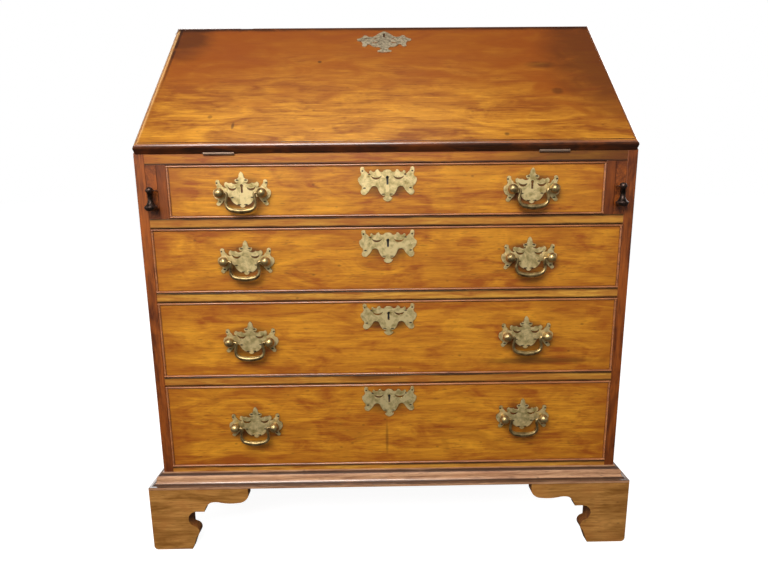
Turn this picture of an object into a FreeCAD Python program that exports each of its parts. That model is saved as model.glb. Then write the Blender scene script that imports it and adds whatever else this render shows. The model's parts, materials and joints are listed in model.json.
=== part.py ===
"""Slant-front writing bureau: a carcase of four long drawers with a hinged fall above them.

Millimetres. +Z is up, the front faces -Y, and the origin is the centre of the bureau's
footprint on the floor. The pieces are modelled from the case's front face, y = 0, and moved
to that origin when they are written.
"""
import FreeCAD, Part
import os
from math import cos, pi, radians, sin, tan

Vector = FreeCAD.Vector

# Carcase
case_width = 919.6
case_depth = 520.0
side_thickness = 19.0
top_thickness = 19.0
bottom_thickness = 19.0
back_thickness = 12.0
back_board_count = 5
bottom_reveal = 10.0
desk_height = 283.0
slope_angle = 44.5
corner_radius = 8.0
corner_bulge_share = 0.34

# Drawer openings from top to bottom, and what divides them
top_opening = 97.5
second_opening = 123.4
third_opening = 151.0
bottom_opening = 173.6
rail_thickness = 17.5
rail_depth = 65.0
runner_width = 40.0
bed_thickness = 19.0

# Base moulding and bracket feet
base_projection = 23.8
moulding_height = 27.0
moulding_fillet = 2.5
moulding_fascia = 5.5
moulding_step = 2.6
moulding_split_share = 0.48
moulding_bulge_share = 0.45
foot_height = 133.0
foot_length = 198.0
foot_thickness = 20.0
foot_block = 44.0
foot_block_lift = 6.0

# Drawers
front_thickness = 20.0
front_side_gap = 0.8
front_top_gap = 1.4
front_bottom_gap = 1.0
running_gap = 0.3
bead_thickness = 3.6
bead_depth = 8.0
bead_projection = 2.2
drawer_back_gap = 26.0
drawer_side_thickness = 10.0
drawer_bottom_thickness = 7.0
drawer_bottom_rise = 8.0
drawer_side_drop = 5.0

# Handles
handle_spacing = 534.0
handle_plate_width = 102.5
plate_thickness = 1.6
plate_keyhole_rise = 13.0
post_spacing = 77.0
post_reach = 14.5
post_ball_radius = 9.3
post_neck_radius = 5.0
post_shank_radius = 2.4
post_tail = 2.0
nut_radius = 6.0
nut_thickness = 4.0
bail_pin_radius = 2.0
bail_pin_length = 5.5
bail_fit = 0.05
bail_start_gap = 0.8
bail_radius = 5.0

# Escutcheons and locks
escutcheon_width = 106.0
keyhole_drop = 26.0
keyhole_radius = 2.8
keyhole_slot = 3.8
keyhole_length = 13.0
escutcheon_pin_radius = 1.0
escutcheon_pin_head = 1.7
escutcheon_pin_length = 9.0
lock_width = 64.0
lock_height = 42.0
lock_depth = 11.0
bolt_width = 18.0
bolt_thickness = 5.0
bolt_length = 28.0
bolt_setback = 0.2
bolt_throw = 8.0
bolt_fit = 0.2
mortise_gap = 0.6

# Lopers and their drop pulls
loper_width = 20.0
loper_back_gap = 78.0
loper_gap = 0.3
loper_partition = 17.5
loper_partition_back_gap = 68.0
drop_height_share = 0.53
drop_length = 43.0
drop_radius = 11.3
drop_eye_radius = 6.8
drop_face_gap = 1.0
staple_radius = 1.0
staple_depth = 12.0
staple_fit = 0.08
staple_side_gap = 0.4

# Fall
fall_side_margin = 4.0
fall_gap = 0.3
fall_tongue = 10.0
fall_tongue_gap = 0.45
fall_lip_overlap = 11.0
fall_moulding_width = 8.5
fall_moulding_step = 1.2
fall_moulding_drop = 6.0
nose_inset = 4.0
fall_escutcheon_width = 115.0
fall_keyhole_drop = 24.5
fall_lock_height = 44.0
fall_lock_depth = 8.8

# Fall hinges
hinge_forward = 1.0
hinge_spacing = 610.0
hinge_length = 56.0
hinge_leaf_length = 34.0
hinge_leaf_thickness = 2.0
knuckle_radius = 3.0
knuckle_gap = 0.35
hinge_pin_radius = 1.25
hinge_pin_fit = 0.05

# Desk interior
gallery_setback = 52.4
gallery_board = 6.0
pen_row_height = 58.0
pigeonhole_count = 8
valance_thickness = 8.0
valance_height = 36.0
pen_drawer_count = 4
pen_side_gap = 0.6
pen_top_gap = 0.9
pen_front_thickness = 12.0
pen_wall = 6.0
pen_bottom_thickness = 4.0
pen_drawer_back_gap = 10.0
pen_knob_radius = 7.0
pen_knob_reach = 11.0
pen_knob_stem = 3.0

# One overrun for every cutting shape
overrun = 2.0

# Outlines as shares of a plate's half width: across, up, and the bulge of the stretch that follows
handle_plate_shares = [
    (0.0, 0.75, 0.25), (0.09, 0.56, -0.35), (0.22, 0.48, 0.9), (0.11, 0.38, -0.5), (0.36, 0.36, -0.3),
    (0.54, 0.39, 0.8), (0.54, 0.20, -0.5), (0.70, 0.27, -0.3), (0.78, 0.43, 0.9), (0.92, 0.36, 0.2),
    (0.88, 0.23, -0.3), (0.99, 0.12, 0.35), (0.99, -0.13, 0.3), (0.88, -0.22, -0.3), (0.94, -0.36, 0.9),
    (0.79, -0.40, 0.1), (0.62, -0.20, -0.6), (0.42, -0.18, 0.25), (0.18, -0.43, -0.5), (0.09, -0.46, 0.3),
    (0.0, -0.52, 0.0),
]
handle_slot_shares = [(0.18, 0.20, -0.35), (0.50, 0.23, 0.85)]
escutcheon_shares = [
    (0.0, 0.26, 0.3), (0.16, 0.19, -0.5), (0.31, 0.27, 0.4), (0.42, 0.20, -0.5), (0.56, 0.24, 0.9),
    (0.58, 0.12, -0.3), (0.72, 0.19, -0.3), (0.80, 0.33, 0.9), (0.93, 0.27, 0.2), (0.90, 0.13, -0.3),
    (1.0, 0.0, 0.3), (0.99, -0.16, 0.2), (0.90, -0.28, -0.3), (0.93, -0.45, 0.8), (0.73, -0.55, 0.1),
    (0.58, -0.36, -0.6), (0.34, -0.36, 0.1), (0.24, -0.56, 0.3), (0.08, -0.62, -0.3), (0.17, -0.69, 0.3),
    (0.0, -0.82, 0.0),
]
escutcheon_slot_shares = [(0.20, 0.06, -0.35), (0.58, 0.06, 0.7)]
escutcheon_pin_shares = (0.83, -0.14)
fall_escutcheon_shares = [
    (0.0, 0.19, 0.1), (0.33, -0.12, -0.3), (0.50, -0.20, -0.3), (0.66, -0.10, 0.6), (0.79, -0.18, -0.2),
    (1.0, -0.33, 0.7), (0.88, -0.46, -0.25), (0.82, -0.78, 0.9), (0.64, -0.70, -0.5), (0.48, -0.76, 0.3),
    (0.24, -0.86, -0.3), (0.14, -0.98, -0.5), (0.23, -1.08, 0.9), (0.18, -1.18, 0.1), (0.0, -1.20, 0.0),
]
fall_ribbon_shares = [(0.20, -0.50, -0.2), (0.50, -0.54, 0.6)]
fall_shoulder_shares = [(0.27, -0.24, -0.2), (0.46, -0.34, 0.7)]
fall_wing_shares = [(0.62, -0.26, -0.3), (0.78, -0.33, 0.8)]
fall_pin_shares = (0.70, -0.52)

# Drop of each drawer's left and right handles below its opening's top, as shares of the opening
post_drop_shares = [(0.527, 0.504), (0.502, 0.492), (0.511, 0.485), (0.485, 0.427)]

# The bail from a post to its lowest point: across and down as shares of half the post spacing,
# then its thickness as a share of its heaviest radius
bail_shares = [
    (0.70, -0.01, 0.54), (0.66, -0.05, 0.58), (0.655, -0.16, 0.58), (0.69, -0.35, 0.56), (0.695, -0.53, 0.60),
    (0.60, -0.71, 0.72), (0.34, -0.82, 0.90), (0.0, -0.86, 1.0),
]

# Bracket foot: along and up as shares of its length and height, then the bulge
foot_shares = [
    (0.045, 0.0, 0.0), (0.394, 0.0, 0.0), (0.448, 0.215, -0.4), (0.436, 0.385, 0.6), (0.465, 0.632, 0.0),
    (0.545, 0.63, 0.2), (0.616, 0.78, 0.2), (0.722, 0.775, -0.12), (0.894, 0.767, -0.42), (1.0, 1.0, 0.0),
    (0.0, 1.0, 0.0), (0.0, 0.07, -0.41),
]
back_foot_shares = [
    (0.0, 0.0, 0.0), (0.40, 0.0, 0.0), (0.50, 0.45, 0.2), (0.85, 0.80, 0.0), (0.85, 1.0, 0.0),
    (0.0, 1.0, 0.0),
]

# The drop pull below its eye, as shares of its length and radius; its neck is a share of the eye's
drop_neck_share = 0.28
drop_belly_share = 0.66
drop_tip_share = 0.68
drop_bulge_share = 0.3
drop_waist_share = 0.68
valance_arch_share = 0.55
valance_bulge_share = 0.4

# Heights and half widths that the sizes above give
half_width = case_width / 2
inner_half = half_width - side_thickness
bottom_top = foot_height + moulding_height + bottom_reveal
bottom_low = bottom_top - bottom_thickness
back_face = case_depth - back_thickness
opening_heights = (top_opening, second_opening, third_opening, bottom_opening)
rail_count = len(opening_heights) - 1
bed_top = bottom_top + sum(opening_heights) + rail_count * rail_thickness + bed_thickness
bed_low = bed_top - bed_thickness
case_top = bed_top + desk_height
side_top = case_top - top_thickness
drawer_rear = back_face - drawer_back_gap
loper_rear = back_face - loper_back_gap
partition_rear = back_face - loper_partition_back_gap
partition_outer = inner_half - loper_width
partition_inner = partition_outer - loper_partition
origin_shift = Vector(0, (base_projection - case_depth) / 2, 0)

# Open, the fall's outer face lies level with the bed's underside, just above the lopers
fall_thickness = bed_thickness
fall_half = half_width - fall_side_margin
slope = radians(slope_angle)
up_slope = Vector(0, cos(slope), sin(slope))
off_slope = Vector(0, -sin(slope), cos(slope))
hinge_axis = Vector(0, -hinge_forward, bed_top)
nose_length = (side_top - bed_top + nose_inset * cos(slope)) / sin(slope)
tongue_length = nose_length - fall_tongue_gap
fall_length = tongue_length + fall_lip_overlap
fall_keyhole = tongue_length - fall_keyhole_drop
quarter_round_share = 1 - cos(pi / 4)

# The gallery stands behind the point where the closed fall's inner face meets the top
gallery_front = (side_top - bed_top) / tan(slope) - hinge_forward + gallery_setback
pen_drawer_rear = back_face - pen_drawer_back_gap


def openings():
    """Bottom, top and half width of each drawer opening, from the top drawer down."""
    found = []
    top = bed_low
    for index, height in enumerate(opening_heights):
        half = inner_half if index else partition_inner
        found.append((top - height, top, half))
        top -= height + rail_thickness
    return found


def box(x0, x1, y0, y1, z0, z1):
    return Part.makeBox(x1 - x0, y1 - y0, z1 - z0, Vector(x0, y0, z0))


def rod(radius, start, end):
    """Round bar between two points."""
    run = end - start
    return Part.makeCylinder(radius, run.Length, start, run)


def mirrored(shape):
    return shape.mirror(Vector(0, 0, 0), Vector(1, 0, 0))


def pair(shape):
    """A shape and its mirror image on the other side of the bureau."""
    return [shape, mirrored(shape)]


def on_slope(along, off=0, x=0):
    """Point at a distance up the fall's inner face and off it, measured from the hinge axis."""
    return hinge_axis + up_slope * along + off_slope * off + Vector(x, 0, 0)


def wire_through(points, place):
    """Closed wire through (u, v, bulge) points; a bulge of 1 is a half circle to the left."""
    edges = []
    for index, (u0, v0, bulge) in enumerate(points):
        u1, v1, _ = points[(index + 1) % len(points)]
        start = place(u0, v0)
        end = place(u1, v1)
        if bulge:
            crown = place((u0 + u1 - bulge * (v1 - v0)) / 2, (v0 + v1 + bulge * (u1 - u0)) / 2)
            edges.append(Part.Arc(start, crown, end).toShape())
        else:
            edges.append(Part.makeLine(start, end))
    return Part.Wire(edges)


def prism(points, place, run):
    """Solid made by moving the outline along a vector."""
    return Part.Face(wire_through(points, place)).extrude(run)


def straight(points):
    return [(u, v, 0) for u, v in points]


def slope_box(half, along0, along1, off0, off1, x=0):
    """Block lying on the slope, with its middle at x."""
    corners = straight([(along0, off0), (along1, off0), (along1, off1), (along0, off1)])
    return prism(corners, lambda u, v: on_slope(u, v, x - half), Vector(2 * half, 0, 0))


def both_halves(half):
    """Closed outline from its right half, which runs from the top centre to the bottom centre."""
    left = []
    for index in range(len(half) - 1, 0, -1):
        u, v, _ = half[index]
        left.append((-u, v, half[index - 1][2]))
    return half[:-1] + left


def write(name, solids):
    """Write the pieces of one node in the bureau's own frame."""
    shape = solids[0] if len(solids) == 1 else Part.makeCompound(solids)
    shape = shape.copy()
    shape.translate(origin_shift)
    shape.exportStep(f"parts/{name}.step")


def keyhole(place, run):
    """Round eye with a slot below it, moved along a vector."""
    eye = prism([(-keyhole_radius, 0, -1), (keyhole_radius, 0, -1)], place, run)
    slot_half = keyhole_slot / 2
    low = -keyhole_length
    corners = straight([(-slot_half, 0), (slot_half, 0), (slot_half, low), (-slot_half, low)])
    return eye.fuse(prism(corners, place, run)).removeSplitter()


def pierced_plate(shares, slots, width, place_mm, run):
    """Brass plate from its outline and slots in shares of half its width."""
    half = width / 2
    plate = prism(both_halves(shares), lambda u, v: place_mm(u * half, v * half), run)
    for slot in slots:
        for side in (1, -1):
            plate = plate.cut(prism(slot, lambda u, v, s=side: place_mm(s * u * half, v * half), run))
    return plate


def corner_waste(place, run):
    """Waste outside a rounded corner, whose two edges meet at place(0, 0)."""
    radius = corner_radius
    outline = [(-overrun, -overrun, 0), (radius, -overrun, 0), (radius, 0, corner_bulge_share),
               (0, radius, 0), (-overrun, radius, 0)]
    return prism(outline, place, run)


def make_sides():
    """Solid sides whose front edges follow the slope of the fall."""
    low = (hinge_forward - fall_gap * sin(slope)) / cos(slope)
    high = (side_top - bed_top + fall_gap * cos(slope)) / sin(slope)
    knee = on_slope(low, -fall_gap)
    peak = on_slope(high, -fall_gap)
    corners = straight([(0, foot_height), (knee.y, knee.z), (peak.y, peak.z), (case_depth, side_top),
                        (case_depth, foot_height)])
    side = prism(corners, lambda u, v: Vector(inner_half, u, v), Vector(side_thickness, 0, 0))
    write("side_right", [side])
    write("side_left", [mirrored(side)])


def make_top_board():
    """Top board with rounded ends over both sides; its front nose goes under the fall's lip."""
    nose_off = fall_tongue - fall_gap
    nose_top = (case_top - bed_top - nose_off * cos(slope)) / sin(slope)
    points = [on_slope(nose_length, -nose_inset), on_slope(nose_length, nose_off),
              on_slope(nose_top, nose_off)]
    corners = straight([(p.y, p.z) for p in points] + [(case_depth, case_top), (case_depth, side_top)])
    board = prism(corners, lambda u, v: Vector(-half_width, u, v), Vector(case_width, 0, 0))
    off_low, off_high = fall_bolt_offsets()
    depth = bolt_throw + mortise_gap - fall_tongue_gap
    mortise = slope_box(bolt_width / 2 + mortise_gap, nose_length - overrun, nose_length + depth,
                        off_low - mortise_gap, off_high + mortise_gap)
    ends = [corner_waste(lambda u, v, s=side: Vector(s * (half_width - u), 0, case_top - v),
                         Vector(0, case_depth + overrun, 0)) for side in (-1, 1)]
    write("top_board", [board.cut([mortise] + ends)])


def make_bottom_and_back():
    write("bottom_board", [box(-inner_half, inner_half, 0, back_face, bottom_low, bottom_top)])
    width = 2 * inner_half / back_board_count
    boards = []
    for index in range(back_board_count):
        left = index * width - inner_half
        boards.append(box(left, left + width, back_face, case_depth, bottom_low, side_top))
    write("back_boards", boards)


def lock_bolt_y():
    """Front and rear faces of a drawer's lock bolt."""
    middle = front_thickness - lock_depth / 2
    return middle - bolt_thickness / 2, middle + bolt_thickness / 2


def rail_mortise(top):
    """Cut in the underside of the rail above a drawer, where its lock bolt goes."""
    y0, y1 = lock_bolt_y()
    half = bolt_width / 2 + mortise_gap
    return box(-half, half, y0 - mortise_gap, y1 + mortise_gap, top - overrun, top + bolt_throw)


def make_writing_bed():
    """Desk floor; its front edge is the rail under the fall, recessed for the hinges."""
    bed = box(-inner_half, inner_half, 0, back_face, bed_low, bed_top)
    cuts = [rail_mortise(bed_low)]
    for x in (-hinge_spacing / 2, hinge_spacing / 2):
        half = hinge_length / 2
        cuts.append(box(x - half, x + half, -overrun, hinge_leaf_length - hinge_forward,
                        bed_top - hinge_leaf_thickness, bed_top + overrun))
        cuts.append(knuckle(x, half + knuckle_gap, knuckle_radius + knuckle_gap))
    write("writing_bed", [bed.cut(cuts)])


def make_rails_and_runners():
    """Front rails between the drawers, and the runners behind them that carry the drawers."""
    rails = []
    runners = []
    for low, _, half in openings()[:-1]:
        top_below = low - rail_thickness
        rail = box(-inner_half, inner_half, 0, rail_depth, top_below, low)
        rails.append(rail.cut(rail_mortise(top_below)))
        runners += pair(box(half - runner_width, inner_half, rail_depth, back_face, top_below, low))
    write("drawer_rails", rails)
    write("drawer_runners", runners)


def make_loper_partitions():
    low, high, _ = openings()[0]
    partition = box(partition_inner, partition_outer, 0, partition_rear, low, high)
    write("loper_partitions", pair(partition))


def make_base_moulding():
    """Three mitred strips: a fillet, a hollow, a round and a fascia flush with the feet."""
    top = foot_height + moulding_height
    fascia_top = foot_height + moulding_fascia
    round_reach = base_projection - moulding_step
    split = moulding_split_share * (round_reach + moulding_fillet)
    split_height = (fascia_top + top - moulding_fillet) / 2
    section = [(0, foot_height, 0), (base_projection, foot_height, 0), (base_projection, fascia_top, 0),
               (round_reach, fascia_top, moulding_bulge_share),
               (split, split_height, -moulding_bulge_share), (moulding_fillet, top - moulding_fillet, 0),
               (moulding_fillet, top, 0), (0, top, 0)]
    outer = half_width + base_projection
    front = prism(section, lambda u, v: Vector(-outer, -u, v), Vector(2 * outer, 0, 0))
    front_plan = straight([(-outer, -base_projection), (outer, -base_projection), (half_width, 0),
                           (-half_width, 0)])
    side = prism(section, lambda u, v: Vector(half_width + u, -base_projection, v),
                 Vector(0, case_depth + base_projection, 0))
    side_plan = straight([(half_width, 0), (outer, -base_projection), (outer, case_depth),
                          (half_width, case_depth)])
    rise = Vector(0, 0, moulding_height)
    front = front.common(prism(front_plan, lambda u, v: Vector(u, v, foot_height), rise))
    side = side.common(prism(side_plan, lambda u, v: Vector(u, v, foot_height), rise))
    write("base_moulding", [front] + pair(side))


def foot_bracket(shares, place, run):
    return prism(shares, lambda u, v: place(u * foot_length, v * foot_height), run)


def make_bracket_feet():
    """Mitred front brackets, rear brackets and the corner blocks behind them."""
    outer = half_width + base_projection
    inner = outer - foot_thickness
    face = -base_projection
    behind = face + foot_thickness
    rise = Vector(0, 0, foot_height)
    front_end = outer - foot_length
    side_end = face + foot_length
    front = foot_bracket(foot_shares, lambda u, v: Vector(outer - u, face, v), Vector(0, foot_thickness, 0))
    front_plan = straight([(outer, face), (inner, behind), (front_end, behind), (front_end, face)])
    front = front.common(prism(front_plan, lambda u, v: Vector(u, v, 0), rise))
    side_run = Vector(-foot_thickness, 0, 0)
    side = foot_bracket(foot_shares, lambda u, v: Vector(outer, face + u, v), side_run)
    side_plan = straight([(outer, face), (outer, side_end), (inner, side_end), (inner, behind)])
    side = side.common(prism(side_plan, lambda u, v: Vector(u, v, 0), rise))
    rear = foot_bracket(foot_shares, lambda u, v: Vector(outer, case_depth - u, v), side_run)
    back = foot_bracket(back_foot_shares, lambda u, v: Vector(inner - u, case_depth, v),
                        Vector(0, -foot_thickness, 0))
    block_in = inner - foot_block
    front_block = box(block_in, inner, behind, behind + foot_block, foot_block_lift, foot_height)
    back_inner = case_depth - foot_thickness
    back_block = box(block_in, inner, back_inner - foot_block, back_inner, foot_block_lift, foot_height)
    solids = []
    for piece in (front, side, rear, back, front_block, back_block):
        solids += pair(piece)
    write("bracket_feet", solids)


def drawer_outline(low, high, half):
    """Half width, bottom and top of a drawer front with its beads."""
    return half - front_side_gap, low + front_bottom_gap, high - front_top_gap


def handle_places(index):
    """Middle, posts and height of a drawer's left handle, then of its right one."""
    low, high, _ = openings()[index]
    reach = post_spacing / 2
    places = []
    for side, share in zip((-1, 1), post_drop_shares[index]):
        middle = side * handle_spacing / 2
        places.append((middle, (middle - reach, middle + reach), high - share * (high - low)))
    return places


def make_drawer_front(name, low, high, half, handles):
    reach, bottom, top = drawer_outline(low, high, half)
    face = box(bead_thickness - reach, reach - bead_thickness, 0, bead_depth,
               bottom + bead_thickness, top - bead_thickness)
    front = face.fuse(box(-reach, reach, bead_depth, front_thickness, bottom, top)).removeSplitter()
    lock = box(-lock_width / 2, lock_width / 2, front_thickness - lock_depth, front_thickness + overrun,
               top - lock_height, top + overrun)
    eye = high - keyhole_drop
    cuts = [lock, keyhole(lambda u, v: Vector(u, -overrun, eye + v), Vector(0, front_thickness, 0))]
    for _, posts, height in handles:
        for x in posts:
            cuts.append(rod(post_shank_radius, Vector(x, -overrun, height),
                            Vector(x, front_thickness + overrun, height)))
    for side in (-1, 1):
        x, z = escutcheon_pin_place(side, high)
        cuts.append(rod(escutcheon_pin_radius, Vector(x, -overrun, z), Vector(x, escutcheon_pin_length, z)))
    write(f"{name}_front", [front.cut(cuts)])


def bead_strip(start, end, across):
    """Cock bead between two points on its middle line, with a half-round front edge."""
    run = end - start
    edge = bead_thickness / 2 - bead_projection
    side = across * (bead_thickness / 2)
    inward = Vector(0, 1, 0)
    corners = [start + side + inward * edge, start + side + inward * bead_depth,
               start - side + inward * bead_depth, start - side + inward * edge]
    edges = [Part.makeLine(corners[index], corners[index + 1]) for index in range(len(corners) - 1)]
    edges.append(Part.Arc(corners[-1], start - inward * bead_projection, corners[0]).toShape())
    return Part.Face(Part.Wire(edges)).extrude(run)


def make_drawer_beads(name, low, high, half):
    reach, bottom, top = drawer_outline(low, high, half)
    middle = bead_thickness / 2
    strips = []
    for z in (bottom + middle, top - middle):
        strips.append(bead_strip(Vector(-reach, 0, z), Vector(reach, 0, z), Vector(0, 0, 1)))
    for x in (middle - reach, reach - middle):
        strips.append(bead_strip(Vector(x, 0, bottom + bead_thickness), Vector(x, 0, top - bead_thickness),
                                 Vector(1, 0, 0)))
    write(f"{name}_cockbeads", strips)


def make_drawer_box(name, low, high, half):
    """Sides, back and bottom behind the front."""
    reach, _, top = drawer_outline(low, high, half)
    inside = reach - drawer_side_thickness
    foot = low + running_gap
    floor_low = foot + drawer_bottom_rise
    floor_top = floor_low + drawer_bottom_thickness
    rim = top - drawer_side_drop
    solids = pair(box(inside, reach, front_thickness, drawer_rear, foot, rim))
    solids.append(box(-inside, inside, front_thickness, drawer_rear, floor_low, floor_top))
    solids.append(box(-inside, inside, drawer_rear - drawer_side_thickness, drawer_rear, floor_top, rim))
    write(f"{name}_box", solids)


def handle_post(x, inner_side, z):
    """Ball-headed post, drilled towards the handle's middle for the bail, with its shank."""
    head = Vector(x, -post_reach, z)
    seat = Vector(x, -plate_thickness, z)
    post = Part.makeSphere(post_ball_radius, head).fuse(rod(post_neck_radius, head, seat))
    post = post.fuse(rod(post_shank_radius, seat, Vector(x, front_thickness + nut_thickness + post_tail, z)))
    bore_end = head + Vector(inner_side * (post_ball_radius - bail_pin_length), 0, 0)
    mouth = head + Vector(inner_side * (post_ball_radius + overrun), 0, 0)
    return post.cut(rod(bail_pin_radius + bail_fit, bore_end, mouth))


def handle_nut(x, z):
    start = Vector(x, front_thickness, z)
    end = Vector(x, front_thickness + nut_thickness, z)
    return rod(nut_radius, start, end).cut(rod(post_shank_radius, start, end))


def escutcheon_pin_place(side, high):
    across, up = escutcheon_pin_shares
    half = escutcheon_width / 2
    return side * across * half, high - keyhole_drop + up * half


def make_drawer_brass(name, high, handles, pierced):
    """Handle plates with their posts and nuts, and the escutcheon with its pins."""
    into = Vector(0, plate_thickness, 0)
    solids = []
    for middle, posts, height in handles:
        centre = Vector(middle, -plate_thickness, height)
        plate = pierced_plate(handle_plate_shares, [handle_slot_shares], handle_plate_width,
                              lambda u, v, c=centre: c + Vector(u, 0, v), into)
        if pierced:
            eye = centre + Vector(0, 0, plate_keyhole_rise)
            plate = plate.cut(keyhole(lambda u, v, e=eye: e + Vector(u, 0, v), into))
        for x in posts:
            start = Vector(x, -plate_thickness, height)
            plate = plate.cut(rod(post_shank_radius, start, start + into))
            inner_side = 1 if x < middle else -1
            solids.append(handle_post(x, inner_side, height))
            solids.append(handle_nut(x, height))
        solids.append(plate)

    def on_front(u, v):
        return Vector(u, -plate_thickness, high - keyhole_drop + v)

    escutcheon = pierced_plate(escutcheon_shares, [escutcheon_slot_shares], escutcheon_width, on_front, into)
    escutcheon = escutcheon.cut(keyhole(on_front, into))
    for side in (-1, 1):
        x, z = escutcheon_pin_place(side, high)
        seat = Vector(x, -plate_thickness, z)
        shank = rod(escutcheon_pin_radius, seat, Vector(x, escutcheon_pin_length, z))
        head = rod(escutcheon_pin_head, seat - into / 2, seat)
        escutcheon = escutcheon.cut(shank)
        solids.append(shank.fuse(head).removeSplitter())
    solids.append(escutcheon)
    write(f"{name}_brass", solids)


def bail(middle, height):
    """Swan-neck bail hanging from its posts, heaviest at its lowest point."""
    half = post_spacing / 2
    right = [(u * half, v * half, share * bail_radius) for u, v, share in bail_shares]
    stations = right + [(-x, z, radius) for x, z, radius in reversed(right[:-1])]
    points = [Vector(middle + x, -post_reach, height + z) for x, z, _ in stations]
    curve = Part.BSplineCurve()
    curve.interpolate(points)
    rings = []
    for point, (_, _, radius) in zip(points, stations):
        tangent = curve.tangent(curve.parameter(point))[0]
        rings.append(Part.Wire(Part.Circle(point, tangent, radius).toShape()))
    body = Part.makeLoft(rings, True)
    for side in (-1, 1):
        face = half - post_ball_radius
        tip = Vector(middle + side * (face + bail_pin_length - bail_start_gap), -post_reach, height)
        root = Vector(middle + side * right[1][0], -post_reach, height)
        body = body.fuse(rod(bail_pin_radius, root, tip))
    return body


def make_drawer_lock(name, low, high, half):
    """Lock case let into the back of the front, and the bolt that rises from it."""
    _, _, top = drawer_outline(low, high, half)
    y0, y1 = lock_bolt_y()
    width = bolt_width / 2
    case = box(-lock_width / 2, lock_width / 2, front_thickness - lock_depth, front_thickness,
               top - lock_height, top)
    tail = top - bolt_setback - bolt_length
    channel = box(-width - bolt_fit, width + bolt_fit, y0 - bolt_fit, y1 + bolt_fit, tail - bolt_fit,
                  top + overrun)
    write(f"{name}_lock", [case.cut(channel)])
    write(f"{name}_lock_bolt", [box(-width, width, y0, y1, tail, top - bolt_setback)])


def make_drawers():
    for index, (low, high, half) in enumerate(openings()):
        name = f"drawer_{index + 1}"
        handles = handle_places(index)
        make_drawer_front(name, low, high, half, handles)
        make_drawer_beads(name, low, high, half)
        make_drawer_box(name, low, high, half)
        make_drawer_brass(name, high, handles, index == 0)
        make_drawer_lock(name, low, high, half)
        for side, (middle, _, height) in zip(("left", "right"), handles):
            write(f"{name}_bail_{side}", [bail(middle, height)])


def drop_pull(x, height):
    """Turned drop hanging from an eye: a ball, a neck and a flared belly."""
    eye = Vector(x, -drop_radius - drop_face_gap, height)
    neck = drop_neck_share * drop_length
    belly = drop_belly_share * drop_length
    neck_radius = drop_waist_share * drop_eye_radius
    tip_radius = drop_tip_share * drop_radius
    low = drop_length - drop_eye_radius
    profile = [(0, 0, 0), (neck_radius, 0, 0), (neck_radius, -neck, -drop_bulge_share),
               (drop_radius, -belly, drop_bulge_share), (tip_radius, -low, 0), (0, -low, 0)]
    outline = Part.Face(wire_through(profile, lambda u, v: eye + Vector(u, 0, v)))
    turned = outline.revolve(eye, Vector(0, 0, 1), 360)
    drop = Part.makeSphere(drop_eye_radius, eye).fuse(turned)
    reach = Vector(drop_eye_radius + overrun, 0, 0)
    return drop.cut(rod(staple_radius + staple_fit, eye - reach, eye + reach))


def drop_staple(x, height):
    """Wire staple driven into the loper; its cross bar goes through the drop's eye."""
    front = -drop_radius - drop_face_gap
    half = drop_eye_radius + staple_side_gap + staple_radius
    bend = 2 * staple_radius
    nick = bend * quarter_round_share
    leg_end = front + bend
    bar_end = half - bend

    def at(across, back):
        return Vector(x + across, back, height)

    path = [Part.makeLine(at(-half, staple_depth), at(-half, leg_end)),
            Part.Arc(at(-half, leg_end), at(nick - half, front + nick), at(-bar_end, front)).toShape(),
            Part.makeLine(at(-bar_end, front), at(bar_end, front)),
            Part.Arc(at(bar_end, front), at(half - nick, front + nick), at(half, leg_end)).toShape(),
            Part.makeLine(at(half, leg_end), at(half, staple_depth))]
    ring = Part.Wire(Part.Circle(at(-half, staple_depth), Vector(0, 1, 0), staple_radius).toShape())
    return Part.Wire(path).makePipeShell([ring], True, True), half


def make_lopers():
    """Sliding arms beside the top drawer that hold up the open fall."""
    low, high, _ = openings()[0]
    height = low + drop_height_share * (high - low)
    x = inner_half - loper_width / 2
    half = loper_width / 2 - loper_gap
    bar = box(x - half, x + half, 0, loper_rear, low + loper_gap, high - loper_gap)
    staple, leg = drop_staple(x, height)
    for side in (-1, 1):
        hole_start = Vector(x + side * leg, -overrun, height)
        hole_end = Vector(x + side * leg, staple_depth, height)
        bar = bar.cut(rod(staple_radius, hole_start, hole_end))
    drop = drop_pull(x, height)
    for name, place in (("right", lambda s: s), ("left", mirrored)):
        write(f"loper_{name}", [place(bar)])
        write(f"loper_{name}_staple", [place(staple)])
        write(f"loper_{name}_drop", [place(drop)])


def fall_edge_cutter(place, run):
    """Waste outside the thumbnail moulding of one edge: inward from the edge, then down from the face."""
    width = fall_moulding_width
    deep = fall_moulding_step + fall_moulding_drop
    edges = [Part.makeLine(place(-overrun, -overrun), place(width, -overrun)),
             Part.makeLine(place(width, -overrun), place(width, fall_moulding_step))]
    crown = place(width * quarter_round_share, fall_moulding_step + fall_moulding_drop * quarter_round_share)
    edges.append(Part.Arc(place(width, fall_moulding_step), crown, place(0, deep)).toShape())
    edges.append(Part.makeLine(place(0, deep), place(-overrun, deep)))
    edges.append(Part.makeLine(place(-overrun, deep), place(-overrun, -overrun)))
    return Part.Face(Part.Wire(edges)).extrude(run)


def fall_bolt_offsets():
    """Inner and outer faces of the fall's lock bolt, measured off the fall's inner face."""
    middle = fall_lock_depth / 2
    return middle - bolt_thickness / 2, middle + bolt_thickness / 2


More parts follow.
